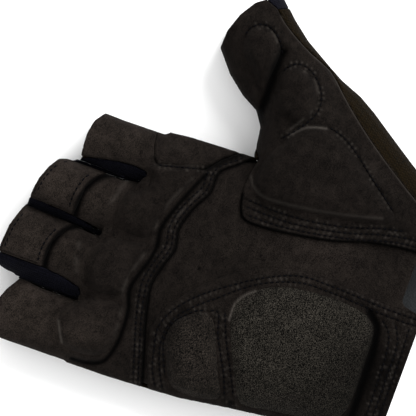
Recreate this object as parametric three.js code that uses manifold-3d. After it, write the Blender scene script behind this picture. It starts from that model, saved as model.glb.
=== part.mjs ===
import * as THREE from 'three';
import Module from 'manifold-3d';

// Fingerless cycling glove for the right hand, lying palm up.
// Millimetres. Fingertips point along +Y, the thumb toward +X, the palm side up.
const palmWidth = 102.7;
const gloveLength = 167.4;
const handHeight = 29;
const suede = 1.5;
const gap = 0.3;
const sideSeam = 0.414 * handHeight;
const padRim = 0.9;
const padPower = 3.2;
const blankRoot = 6;
const seamAllowance = 5;
const sideLap = 3;
const slitDepth = 4;
const slitLip = 2;
const slitFlange = 3.4;
const tabLift = 1.9;
const cuffLine = -0.451;
const high = 2 * handHeight;

// Hollow bodies of the hand. Each row is a section across the axis:
// along the axis, left edge and right edge (shares of palmWidth), crown above and depth below
// the side seam (shares of handHeight).
const bodies = [
  {
    name: 'palm', from: [0, -0.52], to: [0, 0.358], power: 2.6, top: 18, bottom: 12,
    rows: [ // along, left, right, crown, depth
      [0.000, -0.468, 0.434, 0.38, 0.44],
      [0.095, -0.482, 0.431, 0.44, 0.46],
      [0.230, -0.505, 0.421, 0.50, 0.48],
      [0.370, -0.528, 0.412, 0.54, 0.48],
      [0.500, -0.552, 0.406, 0.56, 0.48],
      [0.620, -0.578, 0.402, 0.56, 0.48],
      [0.740, -0.589, 0.397, 0.53, 0.48],
      [0.840, -0.596, 0.390, 0.48, 0.47],
      [0.910, -0.597, 0.378, 0.43, 0.45],
      [0.965, -0.598, 0.368, 0.34, 0.42],
      [1.000, -0.598, 0.362, 0.16, 0.34],
    ],
  },
  {
    name: 'index', from: [0.285, 0.072], to: [0.262, 0.49], power: 2.3, top: 12, bottom: 8,
    rows: [
      [0.00, -0.070, 0.070, 0.22, 0.28],
      [0.25, -0.100, 0.092, 0.36, 0.40],
      [0.50, -0.100, 0.092, 0.40, 0.43],
      [0.72, -0.099, 0.094, 0.40, 0.43],
      [0.90, -0.101, 0.102, 0.39, 0.43],
      [1.00, -0.100, 0.102, 0.38, 0.42],
    ],
  },
  {
    name: 'middle', from: [0.048, 0.072], to: [0.044, 0.56], power: 2.3, top: 12, bottom: 8,
    rows: [
      [0.00, -0.080, 0.080, 0.24, 0.30],
      [0.22, -0.114, 0.114, 0.37, 0.40],
      [0.42, -0.117, 0.112, 0.42, 0.43],
      [0.60, -0.120, 0.103, 0.42, 0.43],
      [0.80, -0.112, 0.104, 0.41, 0.43],
      [1.00, -0.108, 0.104, 0.40, 0.42],
    ],
  },
  {
    name: 'ring', from: [-0.215, 0.072], to: [-0.2, 0.58], power: 2.3, top: 12, bottom: 8,
    rows: [
      [0.00, -0.080, 0.080, 0.24, 0.30],
      [0.22, -0.112, 0.112, 0.37, 0.40],
      [0.42, -0.126, 0.116, 0.42, 0.43],
      [0.60, -0.138, 0.122, 0.42, 0.43],
      [0.80, -0.140, 0.126, 0.41, 0.43],
      [1.00, -0.134, 0.130, 0.40, 0.42],
    ],
  },
  {
    name: 'little', from: [-0.465, 0.072], to: [-0.474, 0.55], power: 2.3, top: 12, bottom: 8,
    rows: [
      [0.00, -0.080, 0.080, 0.20, 0.28],
      [0.22, -0.118, 0.108, 0.33, 0.40],
      [0.42, -0.122, 0.114, 0.38, 0.43],
      [0.60, -0.123, 0.114, 0.39, 0.43],
      [0.80, -0.124, 0.122, 0.38, 0.43],
      [1.00, -0.122, 0.124, 0.37, 0.42],
    ],
  },
  {
    name: 'thumb', from: [0.2138, -0.4896], to: [0.9052, 0.2449], power: 2.3, top: 16, bottom: 10,
    rows: [
      [0.000, -0.130, 0.150, 0.26, 0.38],
      [0.100, -0.170, 0.158, 0.36, 0.42],
      [0.225, -0.253, 0.166, 0.50, 0.46],
      [0.338, -0.370, 0.173, 0.60, 0.46],
      [0.422, -0.440, 0.180, 0.66, 0.46],
      [0.500, -0.450, 0.187, 0.68, 0.46],
      [0.560, -0.400, 0.187, 0.66, 0.46],
      [0.628, -0.270, 0.172, 0.60, 0.46],
      [0.676, -0.184, 0.170, 0.56, 0.45],
      [0.720, -0.155, 0.170, 0.53, 0.44],
      [0.775, -0.158, 0.170, 0.51, 0.43],
      [0.845, -0.143, 0.184, 0.49, 0.43],
      [0.915, -0.108, 0.208, 0.46, 0.42],
      [1.000, -0.085, 0.228, 0.44, 0.41],
    ],
  },
];

// Outlines seen from the palm side, as shares of palmWidth and gloveLength.
const fingerPanelEdge = [ // x, y
  [0.391, 0.057], [0.354, 0.084], [0.298, 0.121], [0.214, 0.124], [0.127, 0.151], [0.039, 0.165],
  [-0.039, 0.157], [-0.117, 0.171], [-0.203, 0.181], [-0.319, 0.168], [-0.448, 0.145],
  [-0.584, 0.119], [-0.701, 0.098],
];
const stallEnds = [ // x, y
  [-0.701, 0.442], [-0.598, 0.477], [-0.533, 0.504], [-0.452, 0.510], [-0.408, 0.500],
  [-0.354, 0.480], [-0.336, 0.526], [-0.323, 0.550], [-0.276, 0.550], [-0.234, 0.549],
  [-0.171, 0.546], [-0.110, 0.535], [-0.068, 0.526], [-0.049, 0.524], [-0.011, 0.522],
  [0.041, 0.517], [0.094, 0.505], [0.136, 0.489], [0.153, 0.461], [0.156, 0.440], [0.175, 0.442],
  [0.203, 0.444], [0.266, 0.446], [0.323, 0.440], [0.368, 0.421], [0.467, 0.376],
];
const indexSide = [ // x, y
  [0.428, 0.311], [0.365, 0.290], [0.312, 0.286], [0.267, 0.275], [0.244, 0.263], [0.251, 0.234],
  [0.274, 0.188], [0.292, 0.153], [0.344, 0.128], [0.399, 0.090], [0.506, 0.054],
];
const slitIndexMiddle = [ // x, y
  [0.177, 0.466], [0.179, 0.441], [0.194, 0.400], [0.209, 0.352], [0.214, 0.315], [0.208, 0.282],
  [0.189, 0.277], [0.157, 0.297], [0.140, 0.332], [0.143, 0.369], [0.153, 0.403], [0.158, 0.437],
  [0.158, 0.466],
];
const slitMiddleRing = [ // x, y
  [-0.035, 0.550], [-0.038, 0.525], [-0.041, 0.474], [-0.047, 0.422], [-0.057, 0.369],
  [-0.068, 0.335], [-0.084, 0.331], [-0.096, 0.346], [-0.094, 0.370], [-0.078, 0.415],
  [-0.072, 0.468], [-0.061, 0.526], [-0.059, 0.550],
];
const slitRingLittle = [ // x, y
  [-0.276, 0.579], [-0.277, 0.549], [-0.278, 0.497], [-0.277, 0.434], [-0.286, 0.382],
  [-0.304, 0.338], [-0.331, 0.329], [-0.356, 0.343], [-0.361, 0.382], [-0.361, 0.428],
  [-0.349, 0.481], [-0.336, 0.536], [-0.333, 0.579],
];
const heelPatch = [ // x, y
  [-0.701, 0.075], [-0.584, 0.103], [-0.448, 0.134], [-0.341, 0.148], [-0.253, 0.125],
  [-0.141, 0.070], [-0.044, 0.001], [0.027, -0.084], [0.052, -0.167], [0.045, -0.275],
  [0.038, -0.358], [0.042, -0.538],
];
const thumbEdge = [ // x, y
  [0.272, -0.538], [0.271, -0.370], [0.246, -0.275], [0.201, -0.184], [0.168, -0.072],
  [0.159, -0.006], [0.166, 0.029], [0.214, 0.044], [0.302, 0.051], [0.401, 0.041],
];
const thumbSeam = [ // x, y
  [0.995, 0.139], [0.927, 0.093], [0.853, 0.012], [0.815, -0.047], [0.724, -0.108], [0.620, -0.187],
  [0.526, -0.272], [0.451, -0.347], [0.360, -0.454], [0.312, -0.538],
];
const crotchLine = [ // x, y
  [0.700, 0.257], [0.370, 0.263], [0.195, 0.281], [0.020, 0.320], [-0.078, 0.334],
  [-0.200, 0.338], [-0.335, 0.334], [-0.450, 0.322], [-0.700, 0.300],
];
const indexCrotch = [ // x, y
  [0.430, 0.066], [0.460, 0.100],
];
const facing = [ // x, y
  [-0.440, -0.448], [0.370, -0.448], [0.360, -0.310], [-0.440, -0.310],
];
const thumbCrotch = [ // x, y
  [0.428, 0.052], [0.470, 0.062], [0.560, 0.120], [0.650, 0.240],
];
const thumbEnd = [ // x, y
  [0.757, 0.218], [0.826, 0.216], [0.902, 0.200], [0.964, 0.176], [1.000, 0.147], [1.030, 0.133],
  [1.060, 0.115], [1.170, 0.085],
];
const thumbEdgeStrip = [ // x, y
  [0.972, 0.120], [1.004, 0.083], [1.200, 0.060], [1.200, 0.200], [0.989, 0.150],
];
const backSplit = [ // x, y
  [0.480, 0.070], [0.399, 0.051], [0.360, -0.060], [0.331, -0.270], [0.331, -0.600],
];
const notch = [ // x, y
  [0.330, -0.396], [0.179, -0.393], [0.075, -0.393], [0.056, -0.402], [0.043, -0.438],
  [0.043, -0.451],
];
const lobeIndexMiddle = [ // x, y
  [0.302, 0.170], [0.277, 0.215], [0.253, 0.263], [0.222, 0.296], [0.191, 0.266], [0.136, 0.277],
  [0.117, 0.317], [0.049, 0.332], [-0.041, 0.324], [-0.047, 0.275], [-0.037, 0.227], [0.039, 0.219],
  [0.107, 0.204], [0.175, 0.184], [0.243, 0.165],
];
const lobeRing = [ // x, y
  [-0.054, 0.224], [-0.066, 0.269], [-0.078, 0.314], [-0.117, 0.346], [-0.185, 0.363],
  [-0.263, 0.345], [-0.300, 0.311], [-0.294, 0.263], [-0.273, 0.237], [-0.195, 0.235],
  [-0.107, 0.220],
];
const lobeLittle = [ // x, y
  [-0.308, 0.237], [-0.314, 0.281], [-0.335, 0.319], [-0.393, 0.360], [-0.470, 0.361],
  [-0.536, 0.335], [-0.549, 0.284], [-0.522, 0.234], [-0.448, 0.215], [-0.370, 0.219],
];
const heelPad = [ // x, y
  [-0.522, -0.116], [-0.438, -0.080], [-0.331, -0.048], [-0.230, -0.023], [-0.146, -0.020],
  [-0.078, -0.054], [-0.023, -0.125], [-0.003, -0.227], [-0.014, -0.311], [-0.062, -0.355],
  [-0.195, -0.363], [-0.351, -0.364], [-0.438, -0.350], [-0.481, -0.287], [-0.506, -0.197],
];
const sidePad = [ // x, y
  [-0.545, 0.056], [-0.448, 0.090], [-0.355, 0.109], [-0.297, 0.099], [-0.243, 0.063],
  [-0.226, 0.026], [-0.263, 0.004], [-0.351, -0.020], [-0.448, -0.048], [-0.526, -0.067],
  [-0.561, -0.012],
];
const thenarPad = [ // x, y
  [0.269, 0.022], [0.315, 0.041], [0.393, 0.038], [0.467, 0.019], [0.549, -0.011], [0.598, -0.054],
  [0.602, -0.108], [0.545, -0.167], [0.473, -0.229], [0.403, -0.293], [0.358, -0.312],
  [0.319, -0.287], [0.292, -0.209], [0.269, -0.119], [0.255, -0.042],
];
const thumbTipPad = [ // x, y
  [0.773, 0.174], [0.707, 0.137], [0.648, 0.103], [0.662, 0.085], [0.740, 0.080], [0.822, 0.079],
  [0.870, 0.099], [0.896, 0.131], [0.863, 0.167],
];
const thumbMidPad = [ // x, y
  [0.627, 0.068], [0.701, 0.069], [0.769, 0.059], [0.791, 0.024], [0.765, -0.016], [0.701, -0.041],
  [0.627, -0.042], [0.569, -0.018], [0.565, 0.020], [0.590, 0.051],
];
const tabMiddleInner = [ // x, y
  [0.150, 0.373], [0.116, 0.395], [0.070, 0.410], [0.015, 0.416], [-0.039, 0.410],
];
const tabMiddleOuter = [ // x, y
  [0.148, 0.458], [0.134, 0.483], [0.093, 0.499], [0.040, 0.511], [-0.033, 0.517],
];
const tabRingInner = [ // x, y
  [-0.095, 0.407], [-0.120, 0.426], [-0.170, 0.441], [-0.222, 0.444], [-0.269, 0.438],
];
const tabRingOuter = [ // x, y
  [-0.074, 0.521], [-0.111, 0.529], [-0.171, 0.540], [-0.224, 0.543], [-0.269, 0.544],
];

const pads = [ // name, outline, rise as a share of handHeight, points round the outline
  ['knuckle_pad_index_middle', lobeIndexMiddle, 0.088, 30],
  ['knuckle_pad_ring', lobeRing, 0.083, 22],
  ['knuckle_pad_little', lobeLittle, 0.088, 22],
  ['heel_pad', heelPad, 0.145, 32],
  ['side_pad', sidePad, 0.100, 24],
  ['thenar_pad', thenarPad, 0.117, 32],
  ['thumb_mid_pad', thumbMidPad, 0.083, 20],
  ['thumb_tip_pad', thumbTipPad, 0.083, 20],
];

const wasm = await Module();
wasm.setup();

const plan = (points) => points.map(([x, y]) => [x * palmWidth, y * gloveLength]);
const shifted = (points, dx, dy) => points.map(([x, y]) => [x + dx, y + dy]);
const lerp = (a, b, t) => a + (b - a) * t;

// Turns a vertex list and triangle list into a boolean-ready solid.
function solid(vertices, triangles) {
  return new wasm.Manifold(new wasm.Mesh({
    numProp: 3,
    vertProperties: new Float32Array(vertices.flat()),
    triVerts: new Uint32Array(triangles.flat()),
  }));
}

// Skins a stack of equal closed rings, with flat end caps.
function skin(rings) {
  const n = rings[0].length;
  const vertices = rings.flat();
  const triangles = [];
  for (let k = 0; k + 1 < rings.length; k += 1) {
    for (let i = 0; i < n; i += 1) {
      const a = k * n + i;
      const b = k * n + ((i + 1) % n);
      triangles.push([a, b, b + n], [a, b + n, a + n]);
    }
  }
  for (const [k, flip] of [[0, true], [rings.length - 1, false]]) {
    const middle = [0, 1, 2].map((c) => rings[k].reduce((s, p) => s + p[c], 0) / n);
    vertices.push(middle);
    for (let i = 0; i < n; i += 1) {
      const a = k * n + i;
      const b = k * n + ((i + 1) % n);
      triangles.push(flip ? [b, a, vertices.length - 1] : [a, b, vertices.length - 1]);
    }
  }
  return solid(vertices, triangles);
}

// Upright block over a plan outline.
function block(outline, low, top) {
  const turned = THREE.ShapeUtils.area(outline.map(([x, y]) => new THREE.Vector2(x, y))) < 0;
  const loop = turned ? [...outline].reverse() : outline;
  const n = loop.length;
  const faces = THREE.ShapeUtils.triangulateShape(loop.map(([x, y]) => new THREE.Vector2(x, y)), []);
  const vertices = [...loop.map(([x, y]) => [x, y, low]), ...loop.map(([x, y]) => [x, y, top])];
  const triangles = [];
  for (const [a, b, c] of faces) triangles.push([a, c, b], [a + n, b + n, c + n]);
  for (let i = 0; i < n; i += 1) {
    const j = (i + 1) % n;
    triangles.push([i, j, j + n], [i, j + n, i + n]);
  }
  return solid(vertices, triangles);
}

// Moves every edge of an outline outward by the given distance.
function grow(outline, amount) {
  const area = THREE.ShapeUtils.area(outline.map(([x, y]) => new THREE.Vector2(x, y)));
  const side = area > 0 ? 1 : -1;
  const n = outline.length;
  return outline.map(([x, y], i) => {
    const [ax, ay] = outline[(i + n - 1) % n];
    const [bx, by] = outline[(i + 1) % n];
    const one = new THREE.Vector2(y - ay, ax - x).normalize();
    const two = new THREE.Vector2(by - y, x - bx).normalize();
    const sum = one.clone().add(two);
    const reach = side * amount * Math.min(2 / Math.max(sum.lengthSq(), 0.5), 2);
    return [x + sum.x * reach, y + sum.y * reach];
  });
}

// Section of a body at a place along its axis.
function sectionAt(body, along) {
  const { rows } = body;
  let k = 0;
  while (k < rows.length - 2 && rows[k + 1][0] < along) k += 1;
  const t = THREE.MathUtils.clamp((along - rows[k][0]) / (rows[k + 1][0] - rows[k][0]), 0, 1);
  const [, left, right, crown, depth] = rows[k].map((v, c) => lerp(v, rows[k + 1][c], t));
  return {
    left: left * palmWidth, right: right * palmWidth,
    crown: crown * handHeight, depth: depth * handHeight,
  };
}

function axisOf(body) {
  const [[fx, fy], [tx, ty]] = plan([body.from, body.to]);
  const length = Math.hypot(tx - fx, ty - fy);
  return { fx, fy, length, ux: (tx - fx) / length, uy: (ty - fy) / length };
}

// One body with its skin moved inward by the given depth.
function bodySolid(body, inset) {
  const { fx, fy, length, ux, uy } = axisOf(body);
  const open = body.name === 'palm' ? [-1, 1] : [1, -1];
  const rings = body.rows.map(([along], k) => {
    const { left, right, crown, depth } = sectionAt(body, along);
    const half = (right - left) / 2 - inset;
    const centre = (right + left) / 2;
    let s = along * length;
    if (k === 0) s += open[0] * inset;
    if (k === body.rows.length - 1) s -= open[1] * inset;
    const ring = [];
    for (let i = 0; i < body.top + body.bottom; i += 1) {
      const above = i < body.top;
      const angle = above ? Math.PI * i / body.top : Math.PI * (1 + (i - body.top) / body.bottom);
      const c = Math.cos(angle);
      const w = Math.abs(Math.sin(angle)) ** (2 / body.power);
      const across = centre + half * Math.sign(c) * Math.abs(c) ** (2 / body.power);
      const z = above ? sideSeam + (crown - inset) * w : sideSeam - (depth - inset) * w;
      ring.push([fx + ux * s + uy * across, fy + uy * s - ux * across, Math.max(z, inset)]);
    }
    return ring.reverse();
  });
  return skin(rings);
}

// The whole hand form at one depth under the outer skin.
function form(inset) {
  const [palm, ...stalls] = bodies.map((body) => bodySolid(body, inset));
  const far = [[0.9 * palmWidth, -2 * gloveLength], [-0.9 * palmWidth, -2 * gloveLength]];
  const limit = shifted(plan(crotchLine), 0, -inset);
  const trimmed = palm.intersect(block([...limit.reverse(), ...far], -1, high));
  return wasm.Manifold.union([trimmed, ...stalls]);
}

// Height of the palm-side skin over a point, with rounded valleys between the bodies.
function skinHeight(x, y) {
  let sum = 0;
  for (const body of bodies) {
    const { fx, fy, length, ux, uy } = axisOf(body);
    const along = ((x - fx) * ux + (y - fy) * uy) / length;
    if (along < 0 || along > 1) continue;
    const { left, right, crown } = sectionAt(body, along);
    const across = (x - fx) * uy - (y - fy) * ux;
    const u = Math.abs(across - (left + right) / 2) / ((right - left) / 2);
    if (u < 1) sum += (crown * (1 - u ** body.power) ** (1 / body.power)) ** 6;
  }
  return sideSeam + sum ** (1 / 6);
}

// Points spread evenly along the smooth curve through an outline's points.
function curved(outline, count, closed = false) {
  const points = plan(outline).map(([x, y]) => new THREE.Vector3(x, y, 0));
  const curve = new THREE.CatmullRomCurve3(points, closed, 'centripetal');
  const spaced = curve.getSpacedPoints(count).map((p) => [p.x, p.y]);
  return closed ? spaced.slice(0, -1) : spaced;
}

// Domed pad over its outline, standing on the panel below it.
function pad(loop, rise, below) {
  const n = loop.length;
  const cx = loop.reduce((s, p) => s + p[0], 0) / n;
  const cy = loop.reduce((s, p) => s + p[1], 0) / n;
  const turned = THREE.ShapeUtils.area(loop.map(([x, y]) => new THREE.Vector2(x, y))) < 0;
  const points = turned ? [...loop].reverse() : loop;
  const ring = (share, lift) => points.map(([x, y]) => {
    const px = lerp(cx, x, share);
    const py = lerp(cy, y, share);
    return [px, py, skinHeight(px, py) + gap + lift];
  });
  const domed = [1, 0.93, 0.76, 0.42].map((r) => ring(r, padRim + rise * (1 - r ** padPower)));
  const stack = [ring(1, -blankRoot), ...domed];
  return skin(stack).subtract(below);
}

// Loop of suede over a stall end, lifted off along its inner edge.
function tab(inner, outer, below) {
  const a = curved(inner, 10);
  const b = curved(outer, 10);
  const rows = 5;
  const grid = [];
  for (let r = 0; r <= rows; r += 1) {
    const t = r / rows;
    grid.push(a.map(([x, y], i) => [lerp(x, b[i][0], t), lerp(y, b[i][1], t), t]));
  }
  const rings = grid.map((row) => {
    const lifted = (t) => (1 - t) ** 1.5;
    const up = row.map(([x, y, t]) => [x, y, skinHeight(x, y) + gap + suede + tabLift * lifted(t)]);
    const down = row.map(([x, y, t]) => {
      const root = lerp(tabLift, -suede, 1 - lifted(t));
      return [x, y, skinHeight(x, y) + root];
    });
    return [...up, ...down.reverse()];
  });
  const strip = skin(rings.map((ring) => ring.reverse()));
  return (strip.volume() < 0 ? skin(rings.reverse()) : strip).subtract(below);
}

const outerSkin = form(0);
const innerSkin = form(suede);
const shell = outerSkin.subtract(innerSkin);
const underShell = form(suede + gap).subtract(form(2 * suede + gap));
const overSkin = form(-gap);

const above = sideSeam + gap / 2;
const below = sideSeam - gap / 2;
const cuff = cuffLine * gloveLength;

const wide = 1.3 * palmWidth;
const knuckleSeam = curved(fingerPanelEdge, 36);
const palmSeam = curved(thumbEdge, 30);
const stallOutline = [
  ...plan(indexCrotch), ...plan(stallEnds).reverse(), ...[...knuckleSeam].reverse(),
];
const thumbOutline = [
  ...palmSeam, ...plan(thumbCrotch), ...plan(thumbEnd.slice(0, 5)), ...curved(thumbSeam, 26),
];
const lapped = curved(thumbEdge.slice(1, -1), 24);
const palmOutline = [
  ...shifted(knuckleSeam.slice(3), 0, seamAllowance).reverse(), ...plan([[0.384, 0.045]]),
  ...shifted(lapped, seamAllowance, -0.8 * seamAllowance).reverse(),
  ...plan(notch), [-0.7 * palmWidth, cuff],
];
const heelOutline = [...curved(heelPatch, 32), [-0.7 * palmWidth, -gloveLength]];
const gloveOutline = [
  [-0.7 * palmWidth, cuff], ...plan(stallEnds), ...plan(indexCrotch.slice(-1)),
  ...plan(thumbCrotch), ...plan(thumbEnd), [wide, 0], [wide, cuff],
];
const glove = block(gloveOutline, -1, high);

const slits = [ // name, outline
  ['fourchette_index_middle', plan(slitIndexMiddle)],
  ['fourchette_middle_ring', plan(slitMiddleRing)],
  ['fourchette_ring_little', plan(slitRingLittle)],
];
const slitBlock = (outline, inset) => wasm.Manifold.union([
  block(grow(outline, -inset), sideSeam - slitDepth + inset, high),
  block(grow(outline, slitFlange - inset), sideSeam - slitDepth + inset, sideSeam + slitLip - inset),
]);
const openSlits = wasm.Manifold.union(slits.map(([, outline]) => slitBlock(outline, 0)));

const walls = shell.intersect(glove);
const sidePatch = plan(indexSide);
const edgeStrip = plan(thumbEdgeStrip);
const rightSide = block([...plan(backSplit), [wide, -gloveLength], [wide, gloveLength]], -1, high);
const leftSide = block(
  [...shifted(plan(backSplit), -gap, 0), [-wide, -gloveLength], [-wide, gloveLength],
    ...plan([[0.46, 1], [0.46, 0.09]])], -1, high,
);
const lowerHalf = block(plan([[-2, -2], [2, -2], [2, 2], [-2, 2]]), -1, below);
const thumbArea = block(grow(thumbOutline, gap), below, high);
const stripArea = block(grow(edgeStrip, gap), below - slitDepth, high);

const leather = { color: '#2e2a26', roughness: 0.95 };
const grained = { color: '#3a3732', roughness: 0.9 };
const knit = { color: '#1b1d2a', roughness: 0.8 };
const stretch = { color: '#2a2016', roughness: 0.95 };
const lining = { color: '#3b3b3d', roughness: 0.7 };

const pieces = [];
const add = (name, shape, look) => pieces.push([name, shape, look]);

add('palm_panel', underShell.intersect(block(palmOutline, sideSeam - sideLap, high)), leather);
add('finger_panel', walls.intersect(block(stallOutline, above, high)).subtract(openSlits)
  .subtract(block(grow(sidePatch, gap), 0, high)), leather);
add('index_side_panel', walls.intersect(block(sidePatch, above, high)), leather);
for (const [name, outline] of slits) {
  add(name, walls.intersect(slitBlock(outline, gap)), knit);
}
add('heel_patch', walls.intersect(block(heelOutline, above, high)), grained);
add('thumb_panel', walls.intersect(block(thumbOutline, above, high)).subtract(stripArea), leather);
add('thumb_back', walls.intersect(rightSide).subtract(thumbArea).subtract(stripArea), stretch);
add('thumb_edge', walls.intersect(block(edgeStrip, below - slitDepth + gap, high)), knit);
add('back_panel', walls.intersect(leftSide).intersect(lowerHalf).subtract(openSlits), stretch);
const facingTop = sideSeam - sideLap - 2 * gap;
add('cuff_facing', underShell.intersect(block(plan(facing), 0, facingTop)), lining);
for (const [name, outline, rise, count] of pads) {
  const look = name === 'heel_pad' || name === 'side_pad' ? grained : leather;
  add(name, pad(curved(outline, count, true), rise * handHeight, overSkin), look);
}
add('pull_tab_middle', tab(tabMiddleInner, tabMiddleOuter, overSkin), leather);
add('pull_tab_ring', tab(tabRingInner, tabRingOuter, overSkin), leather);

const group = new THREE.Group();
group.name = 'cycling_glove';
for (const [name, shape, look] of pieces) {
  const parts = shape.asOriginal().simplify(0.04).decompose().sort((a, b) => b.volume() - a.volume());
  const { vertProperties, triVerts, numProp } = parts[0].getMesh();
  const positions = [];
  for (let i = 0; i < vertProperties.length; i += numProp) {
    positions.push(vertProperties[i], vertProperties[i + 1], vertProperties[i + 2]);
  }
  const geometry = new THREE.BufferGeometry();
  geometry.setAttribute('position', new THREE.Float32BufferAttribute(positions, 3));
  geometry.setIndex(Array.from(triVerts));
  geometry.computeVertexNormals();
  const mesh = new THREE.Mesh(geometry, new THREE.MeshStandardMaterial(look));
  mesh.name = name;
  group.add(mesh);
}

export default group;
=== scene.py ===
import bmesh
import bpy
import numpy as np
from mathutils import Matrix, Vector
from mathutils.bvhtree import BVHTree


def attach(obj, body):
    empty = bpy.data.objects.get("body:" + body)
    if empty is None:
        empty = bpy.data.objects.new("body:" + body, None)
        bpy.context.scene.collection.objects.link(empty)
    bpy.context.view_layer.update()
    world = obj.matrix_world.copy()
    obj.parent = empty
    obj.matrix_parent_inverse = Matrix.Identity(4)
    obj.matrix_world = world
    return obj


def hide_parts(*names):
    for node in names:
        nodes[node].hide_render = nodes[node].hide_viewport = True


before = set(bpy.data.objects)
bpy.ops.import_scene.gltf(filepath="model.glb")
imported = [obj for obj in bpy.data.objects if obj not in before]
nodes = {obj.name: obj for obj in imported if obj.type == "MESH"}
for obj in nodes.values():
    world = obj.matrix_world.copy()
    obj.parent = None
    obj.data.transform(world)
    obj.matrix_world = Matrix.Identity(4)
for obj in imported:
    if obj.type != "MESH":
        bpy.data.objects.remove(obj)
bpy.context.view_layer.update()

scene = bpy.context.scene
print("frame loaded:", len(nodes), "nodes")
mm = 0.001

# Camera straight above the palm, turned so that the fingers point to the left of the picture.
picture = {
    "centre": (15.9, 19.4),  # mm
    "right": (0.342, -0.940),
    "width": 166.4,  # mm across the frame, at the height of the side seam
    "seam": 12.0,
    "distance": 2200.0,
    "sensor": 36.0,
    "farthest": 50.0,  # m
}


def makeCamera():
    lens = bpy.data.cameras.new("camera")
    lens.sensor_width = picture["sensor"]
    lens.lens = picture["sensor"] * picture["distance"] / picture["width"]
    lens.clip_end = picture["farthest"]
    camera = bpy.data.objects.new("camera", lens)
    right = Vector((*picture["right"], 0.0)).normalized()
    back = Vector((0.0, 0.0, 1.0))
    up = back.cross(right)
    turn = Matrix((right, up, back)).transposed()
    x, y = picture["centre"]
    place = Vector((x, y, picture["seam"] + picture["distance"])) * mm
    camera.matrix_world = Matrix.Translation(place) @ turn.to_4x4()
    scene.collection.objects.link(camera)
    scene.camera = camera


makeCamera()

# Plan grid over the palm side, in mm. Heights, pressed lines and tones are painted on it.
plan = {"west": -66.0, "south": -80.0, "east": 112.0, "north": 97.0, "pitch": 0.4}
planX, planY = np.meshgrid(
    np.arange(plan["west"], plan["east"], plan["pitch"]),
    np.arange(plan["south"], plan["north"], plan["pitch"]),
)


def lengthAlong(row):
    return np.concatenate([[0], np.cumsum(np.hypot(*np.diff(row, axis=0).T))])


def pointsAt(row, run, at):
    return np.stack([np.interp(at, run, row[:, 0]), np.interp(at, run, row[:, 1])], 1)


def smoothRow(points, step=0.5, closed=False):
    # Even points along the curve through the given ones.
    p = np.array(points, float)
    if closed:
        p = np.vstack([p[-1], p, p[0], p[1]])
    else:
        p = np.vstack([2 * p[0] - p[1], p, 2 * p[-1] - p[-2]])
    t = np.linspace(0, 1, 24, endpoint=False)[:, None]
    made = []
    for a, b, c, d in zip(p[:-3], p[1:-2], p[2:-1], p[3:]):
        made.append(0.5 * (2 * b + (c - a) * t + (2 * a - 5 * b + 4 * c - d) * t ** 2
                           + (3 * b - a - 3 * c + d) * t ** 3))
    made = np.vstack(made + [p[-2][None]])
    run = lengthAlong(made)
    at = np.linspace(0, run[-1], max(2, int(round(run[-1] / step)) + 1))
    return pointsAt(made, run, at)


def besideRow(row, side):
    # The row moved to its left by the given distance.
    along = np.gradient(row, axis=0)
    along /= np.maximum(np.hypot(*along.T), 1e-9)[:, None]
    return row + side * np.stack([-along[:, 1], along[:, 0]], 1)


def nearRow(row, reach):
    # Distance to a row over the plan, no more than the reach.
    near = np.full(planX.shape, float(reach))
    pitch = plan["pitch"]
    span = int(reach / pitch) + 2
    for x, y in row:
        i = int((x - plan["west"]) / pitch)
        j = int((y - plan["south"]) / pitch)
        if not (0 <= i < planX.shape[1] and 0 <= j < planX.shape[0]):
            continue
        box = (slice(max(j - span, 0), j + span), slice(max(i - span, 0), i + span))
        near[box] = np.minimum(near[box], np.hypot(planX[box] - x, planY[box] - y))
    return near


def insideLoop(loop):
    hit = np.zeros(planX.shape, bool)
    for (ax, ay), (bx, by) in zip(loop, np.roll(loop, -1, axis=0)):
        if ay == by:
            continue
        crosses = (planY < ay) != (planY < by)
        hit ^= crosses & (planX < ax + (planY - ay) / (by - ay) * (bx - ax))
    return hit


def depthInLoop(loop, reach):
    # Distance to a closed row, negative outside it.
    near = nearRow(loop, reach)
    return np.where(insideLoop(loop), near, -near)


def blurred(values, weights, radius):
    # Weighted Gaussian blur on the plan grid, with a radius in mm.
    sigma = radius / plan["pitch"]
    taps = np.arange(-int(3 * sigma) - 1, int(3 * sigma) + 2)
    kernel = np.exp(-0.5 * (taps / sigma) ** 2)
    kernel /= kernel.sum()

    def smeared(field):
        for axis in (0, 1):
            total = np.zeros_like(field)
            for tap, share in zip(taps, kernel):
                total += share * np.roll(field, tap, axis)
            field = total
        return field

    weight = smeared(weights)
    return smeared(values * weights) / np.maximum(weight, 1e-6), weight


def sampled(field, x, y):
    u = np.clip((x - plan["west"]) / plan["pitch"], 0, planX.shape[1] - 1.001)
    v = np.clip((y - plan["south"]) / plan["pitch"], 0, planX.shape[0] - 1.001)
    i, j = u.astype(int), v.astype(int)
    u, v = u - i, v - j
    low = field[j, i] * (1 - u) + field[j, i + 1] * u
    high = field[j + 1, i] * (1 - u) + field[j + 1, i + 1] * u
    return low * (1 - v) + high * v


def cloud(seed, size):
    # Smooth random field with about unit strength and the given size in mm.
    raw = np.random.default_rng(seed).standard_normal(planX.shape)
    soft, _ = blurred(raw, np.ones(planX.shape), size)
    return soft / soft.std()


def ease(value, low, high):
    t = np.clip((value - low) / (high - low), 0, 1)
    return t * t * (3 - 2 * t)


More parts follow.
